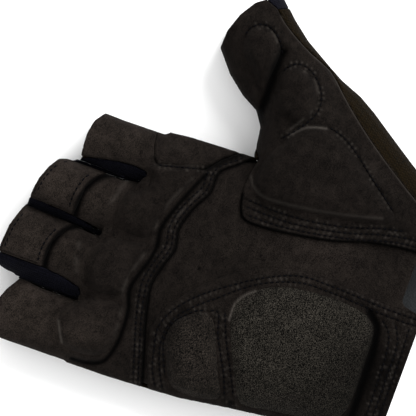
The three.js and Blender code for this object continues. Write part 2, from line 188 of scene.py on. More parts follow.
def topOf(mesh):
    # Height of a mesh seen from above, in mm, and NaN beside it.
    bm = bmesh.new()
    bm.from_mesh(mesh)
    tree = BVHTree.FromBMesh(bm)
    spots = np.array([v.co for v in bm.verts]) * 1000
    bm.free()
    height = np.full(planX.shape, np.nan)
    low, high = spots.min(0), spots.max(0)
    pick = (planX > low[0]) & (planX < high[0]) & (planY > low[1]) & (planY < high[1])
    down = Vector((0, 0, -1))
    for j, i in zip(*np.nonzero(pick)):
        above = Vector((planX[j, i] * mm, planY[j, i] * mm, 100 * mm))
        hit = tree.ray_cast(above, down)[0]
        if hit is not None:
            height[j, i] = hit.z * 1000
    return height


# Seam lines and pad outlines seen from above, in mm.
seams = {
    "fingerEdge": [(42, 8), (36.4, 14), (30.6, 20.2), (22, 20.8), (13, 25.2), (4, 27.6), (-4, 26.3),
                   (-12, 28.6), (-20.8, 30.3), (-32.8, 28.1), (-46, 24.2), (-61, 19.6)],
    "heelEdge": [(-61, 16.9), (-46, 22.4), (-35, 24.7), (-26, 21), (-14.5, 11.8), (-4.5, 0.2),
                 (2.8, -14), (5.3, -28), (4.6, -46), (3.9, -60), (4.3, -76)],
    "thumbEdge": [(27.8, -76), (27.8, -62), (25.3, -46.1), (20.6, -30.8), (17.3, -12), (16.3, -1),
                  (17, 4.8), (22, 7.4), (31, 8.5), (41.2, 6.9)],
    "thumbSeam": [(102.2, 23.2), (95.2, 15.5), (87.6, 2), (83.7, -7.8), (74.4, -18), (63.7, -31.3),
                  (54, -45.6), (46.3, -58.1), (37, -76)],
}
padOutlines = {
    "knuckle_pad_index_middle": [(31, 28.4), (28.4, 36), (26, 44), (22.8, 49.5), (19.6, 44.6), (14, 46.4),
                                 (12, 53), (5, 55.6), (-4.2, 54.2), (-4.8, 46), (-3.8, 38), (4, 36.6),
                                 (11, 34.2), (18, 30.8), (25, 27.6)],
    "knuckle_pad_ring": [(-5.5, 37.5), (-6.8, 45), (-8.0, 52.6), (-12, 58), (-19, 60.8), (-27, 57.8),
                         (-30.8, 52), (-30.2, 44), (-28, 39.6), (-20, 39.4), (-11, 36.8)],
    "knuckle_pad_little": [(-31.6, 39.6), (-32.2, 47), (-34.4, 53.4), (-40.4, 60.2), (-48.3, 60.4),
                           (-55, 56), (-56.4, 47.5), (-53.6, 39.2), (-46, 36), (-38, 36.6)],
    "heel_pad": [(-53.6, -19.4), (-45, -13.4), (-34, -8), (-23.6, -3.8), (-15, -3.4), (-8, -9),
                 (-2.4, -21), (-0.3, -38), (-1.4, -52), (-6.4, -59.4), (-20, -60.8), (-36, -61),
                 (-45, -58.6), (-49.4, -48), (-52, -33)],
    "side_pad": [(-56, 9.4), (-46, 15), (-36.5, 18.2), (-30.5, 16.6), (-25, 10.6), (-23.2, 4.4),
                 (-27, 0.6), (-36, -3.4), (-46, -8), (-54, -11.2), (-57.6, -2)],
    "thenar_pad": [(27.6, 3.6), (32.4, 6.9), (40.4, 6.4), (48, 3.2), (56.4, -1.8), (61.4, -9),
                   (61.8, -18), (56, -28), (48.6, -38.4), (41.4, -49), (36.8, -52.2), (32.8, -48),
                   (30, -35), (27.6, -19.9), (26.2, -7)],
    "thumb_tip_pad": [(79.4, 29.2), (72.6, 23), (66.6, 17.2), (68, 14.2), (76, 13.4), (84.4, 13.2),
                      (89.4, 16.6), (92, 22), (88.6, 28)],
    "thumb_mid_pad": [(64.4, 11.4), (72, 11.6), (79, 9.8), (81.2, 4), (78.6, -2.6), (72, -6.9),
                      (64.4, -7), (58.4, -3), (58, 3.4), (60.6, 8.6)],
}
seamRows = {name: smoothRow(points) for name, points in seams.items()}
padLoops = {name: smoothRow(points, closed=True) for name, points in padOutlines.items()}

# Stitch rows: the thread and what it does to the leather under it. Lengths are in mm.
sewing = {
    "pitch": 2.2,
    "length": 1.6,
    "thickness": 0.74,
    "flatness": 0.7,  # height of a bead as a share of its thickness
    "lift": 0.12,
    "press": 0.42,  # depth that a row sinks
    "spread": 0.75,
    "shade": 0.55,
    "band": 0.16,  # painted shade that the whole sewn band gathers
    "bandHalf": 1.7,
    "specks": 0.3,  # painted highlight specks between two stitches
    "speckSide": 0.85,
    "speckSize": 0.42,
    "holeShadow": 0.42,  # length and width of the painted shadow in a needle hole
    "holeShadowHeight": 0.16,
    "holeShadowLift": 0.02,
    "lowest": 12.5,  # no stitch lies lower than this
    "steepest": 1.6,  # nor where the leather falls by more than this within a stitch
    "support": 0.97,  # nor where less than this share of the leather is there
}


def rowPart(row, first, last):
    # Part of a row between two shares of its length.
    n = len(row)
    return row[int(first * (n - 1)):int(last * (n - 1)) + 1]


fingerEdge, heelEdge = seamRows["fingerEdge"], seamRows["heelEdge"]
thumbEdge, thumbSeam = seamRows["thumbEdge"], seamRows["thumbSeam"]
stitchRows = {
    "finger_panel_stitches": [besideRow(fingerEdge, -1.6), besideRow(rowPart(fingerEdge, 0.12, 1), -3.6)],
    "heel_patch_stitches": [
        smoothRow([(-60.5, 13.6), (-52.2, 18.2), (-43, 20.7), (-35.6, 21.8), (-27.9, 19.2), (-19.1, 12),
                   (-10.8, 1.6), (-2.2, -11.7), (3, -24.5), (3.4, -37.2), (3, -49.4), (2.4, -61.6),
                   (2.6, -74.6)]),
        smoothRow([(-60, 10.6), (-52.5, 14.9), (-44.5, 18), (-36.6, 18.9), (-29.8, 17), (-22.4, 10.8),
                   (-16, 3.2), (-10.2, -3.4), (-4.2, -12.5), (0.5, -25.3), (1.0, -38.1), (0.5, -49),
                   (0, -58), (-0.2, -68), (0.2, -74.6)]),
    ],
    "pad_column_stitches": [
        smoothRow([(-22.8, 5.6), (-21.6, 1.4), (-30.4, -1.6), (-37.8, -5.6), (-45.4, -9.6), (-57, -14.2)]),
        smoothRow([(-20.3, -0.9), (-29.3, -4.6), (-36.9, -8.4), (-45.6, -13), (-57, -18.4)]),
        smoothRow([(-53, 12.6), (-46, 15.8), (-38.9, 18), (-31.1, 16.6), (-24.3, 10.1), (-22.8, 5.8)]),
    ],
    "cuff_stitches": [
        smoothRow([(-50, -72.9), (-30, -73), (-14, -72.8), (-1.6, -72.2)]),
        smoothRow([(-50.5, -70.3), (-34.7, -70.6), (-23.4, -70.3), (-10, -70), (-1.8, -66.5)]),
        smoothRow([(-51, -67.6), (-38.3, -68), (-27.2, -67.7), (-14, -67), (-6.2, -65), (-1.9, -60.5)]),
    ],
    "thumb_panel_stitches": [
        smoothRow([(18.6, 4.0), (18.7, -8.1), (20.4, -22), (23.4, -37), (26.6, -48), (29.2, -60),
                   (29.4, -75)]),
        smoothRow([(21.6, 5.6), (21.2, -7.2), (22.4, -20.9), (25.4, -35.9), (29.0, -47.5),
                   (31.6, -60), (32.2, -75)]),
        smoothRow([(24.4, 6.6), (23.8, -6.2), (25, -21.9), (28, -36.8), (31.6, -47.5), (34, -58)]),
    ],
    "index_patch_stitches": [
        smoothRow([(27.2, 46.4), (25.4, 43.6), (26.2, 39.6), (27.9, 33.3), (29.7, 26.2)]),
    ],
    "thenar_stitches": [
        smoothRow([(62.6, -14.5), (60.6, -21.6), (56.3, -28.7), (51.5, -34.7), (45.9, -42.2),
                   (39.7, -50.3)]),
    ],
    "thumb_pad_stitches": [
        smoothRow([(84.6, 29.2), (88.6, 28.2), (91.2, 25.6), (92.2, 22.6), (91, 18.6), (87.4, 14.7),
                   (82.4, 12)]),
        smoothRow([(77.1, 10), (80.8, 7.4), (82.2, 3.4), (80.7, -1.1), (77, -5.5), (71.8, -8.2),
                   (66.3, -8.4), (61.5, -6.2), (56.2, -2.5), (51.9, 1.4)]),
    ],
}

# Painted relief in mm, the painted shade that gathers in pressed lines, and the painted highlight on
# ridges.
softFolds = 0.2 * cloud(3, 4.5)
smallDents = 0.07 * cloud(5, 1.6)
relief = softFolds + smallDents
shade = np.zeros(planX.shape)
paintedHighlight = np.zeros(planX.shape)


def press(row, depth, spread, dark=0.0, edge=2):
    # A pressed line with painted shade; a higher edge gives its painted shade a flatter floor and harder
    # sides.
    global relief, shade
    near = nearRow(row, spread * 3)
    relief = relief - depth * np.exp(-(near / spread) ** 2)
    shadeSpread = 0.85 * spread
    shade = np.maximum(shade, dark * np.exp(-(near / shadeSpread) ** edge))


# Breaks the painted highlights on ridges into patches.
highlightPatches = ease(cloud(11, 1.1), -1.3, 1.0)


def highlightRidge(row, light, spread, lift, even):
    # A raised line with a painted highlight along it, even or in patches.
    global relief, paintedHighlight
    near = nearRow(row, spread * 3)
    mark = np.exp(-(near / spread) ** 2)
    relief = relief + lift * mark
    paintedHighlight = np.maximum(paintedHighlight, light * mark * (1 if even else highlightPatches))


def stitchSpots(row):
    # Rows of points: the starts and ends of the stitches, then those of the needle holes between them.
    run = lengthAlong(row)
    count = int(run[-1] // sewing["pitch"])
    start = (run[-1] - (count - 1) * sewing["pitch"]) / 2
    at = start + sewing["pitch"] * np.arange(count)
    hole = at + sewing["pitch"] / 2
    ends = (
        at - sewing["length"] / 2,
        at + sewing["length"] / 2,
        hole - sewing["holeShadow"] / 2,
        hole + sewing["holeShadow"] / 2,
    )
    return [pointsAt(row, run, end) for end in ends]


speckBreaks = ease(cloud(13, 0.6), -0.7, 1.6)
for rows in stitchRows.values():
    for row in rows:
        press(row, sewing["press"], sewing["spread"], sewing["shade"])
        band = np.exp(-(nearRow(row, 4.5) / sewing["bandHalf"]) ** 4)
        shade = np.maximum(shade, sewing["band"] * band)
        # Painted highlight specks beside each needle hole, broken up at random.
        for side in (-sewing["speckSide"], sewing["speckSide"]):
            *_, holeStarts, holeEnds = stitchSpots(besideRow(row, side))
            near = nearRow((holeStarts + holeEnds) / 2, 1.5)
            speckGlints = np.exp(-(near / sewing["speckSize"]) ** 2)
            paintedHighlight = np.maximum(paintedHighlight, sewing["specks"] * speckGlints * speckBreaks)

creases = {  # row, depth, spread, painted shade
    "fingerEdgeGap": (besideRow(fingerEdge, 0.1), 0.0, 1.1, 1.0),
    "thumbEdgeGap": (besideRow(rowPart(thumbEdge, 0.02, 0.86), 0.1), 0.0, 0.8, 1.0),
    "knuckleCrease": (smoothRow([(28, 24.6), (23.8, 26.6), (17.5, 29.3), (7.3, 32.9), (1.2, 34.2),
                                 (-5.2, 33.3), (-11.6, 34.1), (-18.6, 36.3), (-25.3, 37.6), (-33, 35.4),
                                 (-41.5, 34.7), (-49.1, 35.3), (-55.8, 37.8), (-58.6, 44),
                                 (-59.2, 50)]), 1.3, 1.2, 1.0),
    "heelGroove": (smoothRow([(-0.8, -55), (-5.2, -59.6), (-9.3, -60.8), (-15, -61.6), (-22.4, -61.8),
                              (-30.5, -62.1), (-39.4, -62.5), (-50, -61.9), (-58, -60.6)]), 2.1, 2.1, 1.0),
    "thumbFold": (smoothRow([(84.5, 12.6), (79.7, 13), (74, 13), (69.5, 12.7), (64, 12.6), (58.5, 12.6),
                             (50, 12.4)]), 2.9, 2.1, 1.0),
    "indexFold": (smoothRow([(30.4, 25.2), (33.6, 21.6), (37, 18.2), (41.5, 13.2)]), 1.3, 1.8, 0.9),
    "middleTabGap": (smoothRow([(14.9, 60.8), (14.3, 61.9), (11.4, 65.1), (7.2, 67.3), (1.9, 68.6),
                                (-2.7, 68.4), (-5.2, 68)]), 1.1, 1.6, 1.0),
    "ringTabGap": (smoothRow([(-8.2, 65), (-9.3, 67), (-12.2, 70.4), (-17.6, 72.6), (-22.1, 73.3),
                              (-28.6, 72.5)]), 1.1, 1.6, 1.0),
    "columnEnd": (smoothRow([(-54, -15.4), (-58, -17)]), 0.8, 1.6, 0.9),
    "pin": (smoothRow([(-8.2, 14.5), (-7.8, 14.5)]), 0.5, 0.75, 1.0),
}
for row, depth, spread, dark in creases.values():
    press(row, depth, spread, dark, edge=4)
ridges = {  # row, lightness of the painted highlight, spread, lift, whether the highlight is even along the row
    "tipRim": (smoothRow([(89.9, 24.5), (90.6, 22.2), (89.7, 18.6), (87.2, 16)]), 0.20, 0.4, 0.3, False),
    "midRim": (smoothRow([(80, 2), (79.4, -1.4), (75.7, -4.9), (70.8, -6.9), (66, -6.2), (60.4, -3.2),
                          (54.4, 0.6)]), 0.22, 0.4, 0.3, False),
    "thenarTop": (smoothRow([(54.4, -1.4), (58.1, -5), (60.2, -8.8), (61.6, -14)]), 0.40, 0.4, 0.3, True),
    "thenarRim": (smoothRow([(33.6, 7.6), (30.2, 5.4), (28, 1.6), (27.6, -4.9), (29.2, -18.2),
                             (32, -33.2), (35.6, -47)]), 0.13, 0.55, 0.35, True),
    "thumbWelt": (besideRow(rowPart(thumbSeam, 0.06, 0.9), 0.05), 0.15, 0.4, 0.3, True),
    "heelRim": (smoothRow([(-23.2, -3.8), (-20.6, -3.6), (-15.8, -3.8), (-11.9, -6),
                           (-8.6, -9.6)]), 0.5, 0.32, 0.3, True),
    "indexKnuckle": (smoothRow([(16.1, 53.2), (10.5, 55), (4.1, 56.6)]), 0.10, 0.9, 0.35, False),
    "ringKnuckle": (smoothRow([(-14.9, 62.9), (-19.5, 62.2), (-25.6, 60)]), 0.10, 0.9, 0.35, False),
    "littleKnuckle": (smoothRow([(-46.6, 60), (-49.6, 58.5), (-54.4, 55.8)]), 0.42, 0.4, 0.25, True),
    "creaseRim": (smoothRow([(24.6, 29.4), (11.5, 35), (1.2, 36.4), (-6.3, 36), (-17.2, 39), (-26.8, 40),
                             (-34.1, 38), (-44, 37)]), 0.12, 0.6, 0.35, False),
    "seamRoll": (smoothRow([(21.5, 24.6), (14.1, 27.4), (9, 29.7), (3.8, 31.4)]), 0.25, 0.45, 0.25, False),
}
for ridge in ridges.values():
    highlightRidge(*ridge)
print("seams and creases painted")

# Panels of the palm side, and the voxel size in mm that each is rebuilt with.
panels = {
    "palm_panel": {"piece": "palm_suede", "voxel": 0.65},
    "finger_panel": {"piece": "finger_suede", "voxel": 0.6},
    "index_side_panel": {"piece": "index_side_suede", "voxel": 0.6},
    "heel_patch": {"piece": "heel_patch_suede", "voxel": 0.65},
    "thumb_panel": {"piece": "thumb_suede", "voxel": 0.55},
}


def objectFrom(bm, name):
    # A new object with the faces of the bmesh, which is freed.
    mesh = bpy.data.meshes.new(name)
    bm.to_mesh(mesh)
    bm.free()
    made = bpy.data.objects.new(name, mesh)
    scene.collection.objects.link(made)
    return made


def roundShaded(mesh):
    mesh.polygons.foreach_set("use_smooth", np.ones(len(mesh.polygons), bool))


def evenCopy(source, name, voxel):
    # A copy of a node's mesh, merged and rebuilt with even faces.
    bm = bmesh.new()
    bm.from_mesh(nodes[source].data)
    bmesh.ops.remove_doubles(bm, verts=bm.verts, dist=1e-6)
    piece = objectFrom(bm, name)
    even = piece.modifiers.new("even faces", "REMESH")
    even.mode = "VOXEL"
    even.voxel_size = voxel * mm
    made = bpy.data.meshes.new_from_object(piece.evaluated_get(bpy.context.evaluated_depsgraph_get()))
    piece.modifiers.clear()
    piece.data = made
    made.name = name
    made.materials.clear()
    roundShaded(made)
    return piece


def readVectors(mesh, kind):
    # Places (co) or directions (normal) of the vertices.
    values = np.empty(len(mesh.vertices) * 3, np.float32)
    mesh.vertices.foreach_get(kind, values)
    return values.reshape(-1, 3).astype(float)


def readPoints(mesh):
    return readVectors(mesh, "co") * 1000


def writePoints(mesh, points):
    mesh.vertices.foreach_set("co", (points * mm).astype(np.float32).ravel())
    mesh.update()


evening = {"smooth": 0.5, "back": -0.52}


def relaxed(mesh, points, rounds):
    # Evens out small facets. Each round smooths and then pushes back, so the piece doesn't shrink.
    ends = np.empty(len(mesh.edges) * 2, np.int32)
    mesh.edges.foreach_get("vertices", ends)
    a, b = ends.reshape(-1, 2).T
    n = len(points)
    share = 1 / np.maximum(np.bincount(a, minlength=n) + np.bincount(b, minlength=n), 1)
    for _ in range(rounds):
        for step in (evening["smooth"], evening["back"]):
            middle = np.stack([np.bincount(a, points[b, c], n) + np.bincount(b, points[a, c], n)
                               for c in range(3)], 1) * share[:, None]
            points = points + step * (middle - points)
    return points


wallFade = (-1.9, -0.7)  # mm from the top of a piece


def paintLightAndShade(piece, points):
    # The painted shade and highlights stay on the top of the piece and fade out down its walls. The tone,
    # with its painted light and shade, goes all round.
    x, y, z = points.T
    level = sampled(ground + np.minimum(relief, 0), x, y)
    outer = ease(z - level, *wallFade)
    fields = {"seamShade": (shade, outer), "paintedHighlightMark": (paintedHighlight, outer), "napAndLightTone": (tone, 1)}
    for name, (field, share) in fields.items():
        marks = piece.data.attributes.new(name, "FLOAT", "POINT")
        marks.data.foreach_set("value", (sampled(field, x, y) * share).astype(np.float32))


# Where the nap is painted lighter or darker, partly for the nap brushed different ways and partly as
# painted light and shade: x, y, radius in mm, and the change in tone.
toneAndLightPatches = [
    (12, -30, 18, 0.30), (30, 70, 22, 0.42), (5, 78, 15, 0.42), (-17, 84, 15, 0.40), (-48, 82, 22, 0.65),
    (-47, 47, 12, 0.25), (2, 62, 8, 0.25), (-18, 67, 8, 0.20), (34, 40, 8, 0.10), (-42, 3, 12, 0.12),
    (-28, -60, 16, -0.2), (42, -14, 22, -0.10), (80, 18, 20, -0.10), (68, 2, 12, -0.06),
    (12, 44, 12, -0.12), (-48, -46, 16, -0.14), (-38, 22, 9, -0.10), (-6, -2, 10, -0.12),
    (4, -44, 9, -0.14), (-20, -71, 12, -0.12), (-48, -71, 12, -0.12), (34, -56, 16, -0.12),
    (20, -30, 8, -0.06), (-18, -72, 16, -0.08),
]
napLevel = {"between": 0.45, "strength": 0.76, "mottle": 0.07, "fineMottle": 0.06}
tone = np.full(planX.shape, napLevel["between"])
for x, y, radius, change in toneAndLightPatches:
    tone += change * np.exp(-((planX - x) ** 2 + (planY - y) ** 2) / radius ** 2)
mottle = 1 + napLevel["mottle"] * cloud(21, 4.0) + napLevel["fineMottle"] * cloud(22, 1.5)
tone *= napLevel["strength"] * mottle


# Finishes. Colours are given as they look, from 0 to 255.
def seen(red, green, blue):
    return tuple(((c / 255 + 0.055) / 1.055) ** 2.4 if c > 10 else c / 255 / 12.92
                 for c in (red, green, blue)) + (1.0,)


def feed(tree, value, into):
    # Links a socket to an input, or sets the input to a value.
    if isinstance(value, bpy.types.NodeSocket):
        tree.links.new(value, into)
    else:
        into.default_value = value


def node(tree, kind, **values):
    # A new node. Each value sets a property, or feeds the input of that name.
    made = tree.nodes.new(kind)
    for name, value in values.items():
        if hasattr(made, name):
            setattr(made, name, value)
        else:
            feed(tree, value, made.inputs[name.replace("_", " ")])
    return made


def mixed(tree, kind, factor, low, high, **values):
    # The result of mixing two numbers (FLOAT) or two colours (RGBA).
    made = node(tree, "ShaderNodeMix", data_type=kind, **values)
    start, end = (2, 0) if kind == "FLOAT" else (6, 2)
    feed(tree, factor, made.inputs[0])
    feed(tree, low, made.inputs[start])
    feed(tree, high, made.inputs[start + 1])
    return made.outputs[end]


def effectGroup(name, inputs):
    # An effect whose inputs are numbers or kinds of socket. It puts out a colour, a height and a roughness.
    group = bpy.data.node_groups.new(name, "ShaderNodeTree")
    face = group.interface
    for label, value in inputs.items():
        kind = value if isinstance(value, str) else "Float"
        socket = face.new_socket(label, in_out="INPUT", socket_type="NodeSocket" + kind)
        if kind == "Float":
            socket.default_value = value
    for label, kind in (("Color", "Color"), ("Height", "Float"), ("Roughness", "Float")):
        face.new_socket(label, in_out="OUTPUT", socket_type="NodeSocket" + kind)
    into = node(group, "NodeGroupInput")
    out = node(group, "NodeGroupOutput")
    return group, into.outputs, out.inputs


# Colour of the painted highlight, and the dark colour that multiplies in the painted shade.
paintedLight = {"paintedHighlight": seen(84, 79, 74), "seam": (0.04, 0.04, 0.05, 1.0)}


def endEffect(group, into, out, colour, height, uneven, low, high):
    # Adds the painted highlight, multiplies in the painted shade of seams and creases, and spreads the
    # roughness from low to high.
    lighter = mixed(group, "RGBA", into["Painted Highlight"], colour, paintedLight["paintedHighlight"])
    darker = mixed(group, "RGBA", into["Seam"], lighter, paintedLight["seam"], blend_type="MULTIPLY")
    rough = node(group, "ShaderNodeMapRange", Value=uneven, To_Min=low, To_Max=high)
    feed(group, darker, out["Color"])
    feed(group, height, out["Height"])
    feed(group, rough.outputs["Result"], out["Roughness"])


def napGroup():
    # Brushed fibre: fine specks and softer patches, with painted shade in pressed lines and painted
    # highlights on ridges.
    group, into, out = effectGroup("brushedNap", {
        "Vector": "Vector",
        "Dark": "Color",
        "Light": "Color",
        "Fibre Scale": 1800.0,
        "Patch Scale": 120.0,
        "Patches": 0.5,
        "Seam": 0.0,
        "Painted Highlight": 0.0,
        "Tone": 1.0,
        "Low": 0.4,
        "High": 0.6,
    })
    fibre = node(group, "ShaderNodeTexNoise", Vector=into["Vector"], Scale=into["Fibre Scale"],
                 Detail=4.0, Roughness=0.65).outputs["Fac"]
    patch = node(group, "ShaderNodeTexNoise", Vector=into["Vector"], Scale=into["Patch Scale"],
                 Detail=3.0, Roughness=0.55).outputs["Fac"]
    blend = mixed(group, "FLOAT", into["Patches"], fibre, patch)
    spread = node(group, "ShaderNodeMapRange", Value=blend, From_Min=into["Low"], From_Max=into["High"])
    tint = mixed(group, "RGBA", spread.outputs["Result"], into["Dark"], into["Light"])
    toned = node(group, "ShaderNodeVectorMath", operation="SCALE", Vector=tint, Scale=into["Tone"])
    endEffect(group, into, out, toned.outputs[0], fibre, fibre, 0.78, 0.98)
    return group


def yarnGroup():
    # Knitted loops: small even bumps, with a little unevenness in the colour of the yarn.
    group, into, out = effectGroup("knittedYarn", {
        "Vector": "Vector",
        "Dark": "Color",
        "Light": "Color",
        "Loops": 1100.0,
        "Seam": 0.0,
        "Painted Highlight": 0.0,
    })
    cells = node(group, "ShaderNodeTexVoronoi", Vector=into["Vector"], Scale=into["Loops"], Randomness=0.35)
    loop = node(group, "ShaderNodeMapRange", Value=cells.outputs["Distance"],
                From_Min=0.65, From_Max=0.1).outputs["Result"]
    yarn = node(group, "ShaderNodeTexNoise", Vector=into["Vector"], Scale=260.0,
                Detail=3.0, Roughness=0.6).outputs["Fac"]
    blend = mixed(group, "FLOAT", 0.45, loop, yarn)
    spread = node(group, "ShaderNodeMapRange", Value=blend, From_Min=0.12, From_Max=0.62)
    tint = mixed(group, "RGBA", spread.outputs["Result"], into["Dark"], into["Light"])
    endEffect(group, into, out, tint, loop, yarn, 0.72, 0.95)
    return group


brushedNap = napGroup()
knittedYarn = yarnGroup()
lightAndShadeMarks = {"seamShade": "Seam", "paintedHighlightMark": "Painted Highlight"}


def fabric(name, group, values, marks, bump, shaderValues):
    # A material of one effect. Marks names the painted attributes and the inputs that they feed.
    material = bpy.data.materials.new(name)
    material.use_nodes = True
    tree = material.node_tree
    shader = tree.nodes["Principled BSDF"]
    place = node(tree, "ShaderNodeTexCoord")
    effect = node(tree, "ShaderNodeGroup", node_tree=group)
    feed(tree, place.outputs["Object"], effect.inputs["Vector"])
    for label, value in values.items():
        feed(tree, value, effect.inputs[label])
    for attribute, label in marks.items():
        painted = node(tree, "ShaderNodeAttribute", attribute_name=attribute)
        feed(tree, painted.outputs["Fac"], effect.inputs[label])
    raised = node(tree, "ShaderNodeBump", Height=effect.outputs["Height"], **bump)
    feed(tree, effect.outputs["Color"], shader.inputs["Base Color"])
    feed(tree, effect.outputs["Roughness"], shader.inputs["Roughness"])
    feed(tree, raised.outputs["Normal"], shader.inputs["Normal"])
    for label, value in shaderValues.items():
        feed(tree, value, shader.inputs[label])
    return material


def napMaterial(name, dark, light, fibre, patch, patches, spread, bump,
                lean=0.0, plain=False, gloss=0.024):
    values = {
        "Dark": seen(*dark),
        "Light": seen(*light),
        "Fibre Scale": fibre,
        "Patch Scale": patch,
        "Patches": patches,
        "Low": 0.5 + lean - spread,
        "High": 0.5 + lean + spread,
    }
    marks = {} if plain else {**lightAndShadeMarks, "napAndLightTone": "Tone"}
    return fabric(name, brushedNap, values, marks, {"Strength": bump, "Distance": 0.0005}, {
        "Specular IOR Level": gloss,
        "Sheen Weight": 0.007,
        "Sheen Roughness": 0.45,
        "Sheen Tint": (0.8, 0.75, 0.7, 1),
    })


def clothMaterial(name, dark, light, loops, bump, sheen, seams=False):
    values = {"Dark": seen(*dark), "Light": seen(*light), "Loops": loops}
    marks = lightAndShadeMarks if seams else {}
    return fabric(name, knittedYarn, values, marks, {"Strength": bump, "Distance": 0.0004}, {
        "Specular IOR Level": 0.024,
        "Sheen Weight": sheen,
        "Sheen Roughness": 0.5,
    })


finishes = {
    # dark and light nap, fibre and patch scale, share of patches, contrast, bump
    "suede": napMaterial("black_suede", (12, 9, 8), (48, 42, 38), 2500, 300, 0.24, 0.105, 0.9),
    "grain": napMaterial("grained_suede", (3, 3, 3), (88, 83, 75), 2600, 260, 0.06, 0.07, 1.0, lean=0.04),
    "sideGrain": napMaterial("grained_side_suede", (6, 5, 5), (75, 68, 62), 2600, 260, 0.1, 0.075, 0.9,
                             lean=0.04),
    "thread": napMaterial("black_thread", (1, 1, 2), (8, 8, 10), 900, 300, 0.1, 0.12, 0.4,
                          plain=True, gloss=0.02),
    # A black material for the painted shadow in each needle hole.
    "holeShadow": napMaterial("needle_hole_shadow", (0, 0, 0), (2, 2, 2), 2600, 300, 0.1, 0.15, 0.1,
                       plain=True, gloss=0.0),
    # dark and light yarn, loops a metre, bump, sheen
    "knit": clothMaterial("navy_knit", (2, 2, 4), (11, 11, 18), 1300, 0.7, 0.006),
    "stretch": clothMaterial("brown_stretch_fabric", (4, 3, 1), (18, 12, 4), 1050, 0.6, 0.001,
                             seams=True),
    "facing": clothMaterial("grey_facing", (28, 29, 30), (44, 45, 46), 1800, 0.35, 0.01),
}
print("finishes made")


def settle(piece, source, finish):
    # Source is the node that the piece stands for, or None for what is added.
    piece.data.materials.append(finishes[finish])
    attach(piece, "root")
    if source:
        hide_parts(source)


def slopeOf(field):
    slopeY, slopeX = np.gradient(field, plan["pitch"])
    return np.hypot(slopeX, slopeY)


# Dress the palm-side panels. Their tops are smoothed, by no more than the given mm, where they are gentle.
smoothing = {"radius": 1.8, "most": 0.8, "gentle": (1.6, 0.6)}
nowhere = -99
panelTops = {}
panelShift = {}
for name in panels:
    top = topOf(nodes[name].data)
    known = np.isfinite(top)
    height = np.where(known, top, 0)
    soft, _ = blurred(height, known.astype(float), smoothing["radius"])
    gentle = ease(slopeOf(soft), *smoothing["gentle"])
    shift = np.where(known, np.clip(soft - height, -smoothing["most"], smoothing["most"]), 0)
    shift, _ = blurred(shift, known.astype(float) + 1e-4, 0.5)
    panelShift[name] = shift * gentle
    panelTops[name] = np.where(known, height + shift * gentle, nowhere)
flat = np.stack(list(panelTops.values())).max(0)
hidden = flat < 0
ground, _ = blurred(np.where(hidden, 0, flat), np.where(hidden, 0.0, 1.0), 1.0)
relief = relief * ease(slopeOf(ground), 2.2, 0.9)

sideSeam = {"draw": 0.45, "low": 12.2, "back": 11.9, "over": 2.5}  # mm; sewn edges are drawn together
fullness = {"panel": 0.15, "stretch": 0.25}  # mm that the cloth is filled out
patchStep = {"rise": 0.9, "over": 3.2}  # mm; the palm rises to the patch sewn on it
besidePatch = patchStep["rise"] * (1 - ease(nearRow(heelEdge, 4), 0, patchStep["over"]))
for name, look in panels.items():
    piece = evenCopy(name, look["piece"], look["voxel"])
    points = relaxed(piece.data, readPoints(piece.data), 3)
    points += fullness["panel"] * readVectors(piece.data, "normal")
    x, y = points[:, 0], points[:, 1]
    points[:, 2] += sampled(panelShift[name], x, y) + sampled(relief, x, y)
    if name == "palm_panel":
        points[:, 2] += sampled(besidePatch, x, y)
    seamTop = sideSeam["low"] + sideSeam["over"]
    points[:, 2] -= sideSeam["draw"] * (1 - ease(points[:, 2], sideSeam["low"], seamTop))
    writePoints(piece.data, points)
    paintLightAndShade(piece, points)
    settle(piece, name, "suede")
    print(look["piece"], len(piece.data.polygons))

surface = np.where(hidden, np.nan, flat + relief)


def softSide(soft):
    # Rises from 0 to 1 across the span, in the given direction.
    if not soft:
        return np.zeros(planX.shape)
    right, up, low, high = soft
    return ease(planX * right + planY * up, low, high)


# Padding sewn under the leather: each rim sinks into its panel, and the top swells to the solid's height.
padding = {  # rise: mm from the rim to the full height; soft: direction and span in which the rim fades out
    "knuckle_pad_index_middle": {"rise": 4.0, "soft": (0, 1, 44, 55), "finish": "suede"},
    "knuckle_pad_ring": {"rise": 4.0, "soft": (0, 1, 48, 59), "finish": "suede"},
    "knuckle_pad_little": {"rise": 4.0, "soft": (0.3, 0.95, 46, 57), "finish": "suede"},
    "heel_pad": {"rise": 4.6, "soft": None, "finish": "grain"},
    "side_pad": {"rise": 4.0, "soft": None, "finish": "sideGrain"},
    "thenar_pad": {"rise": 4.0, "soft": (0.55, 0.83, 22, 34), "finish": "suede"},
    "thumb_tip_pad": {"rise": 3.5, "soft": (-0.8, 0.6, -54, -42), "finish": "suede"},
    "thumb_mid_pad": {"rise": 3.5, "soft": (-0.8, 0.6, -54, -44), "finish": "suede"},
}
swelling = {
    "sunk": 0.5,  # mm that a rim lies below its panel
    "base": 0.3,  # mm from there to the underside
    "curve": 0.75,
    "softCurve": 0.9,  # added where the rim fades out
    "softRise": 1.3,
    "voxel": 0.6,
    "rounds": 4,
}
under, _ = blurred(np.where(hidden, 0, flat), np.where(hidden, 0.0, 1.0), 0.6)
base = under + relief - swelling["sunk"]
tops = surface.copy()
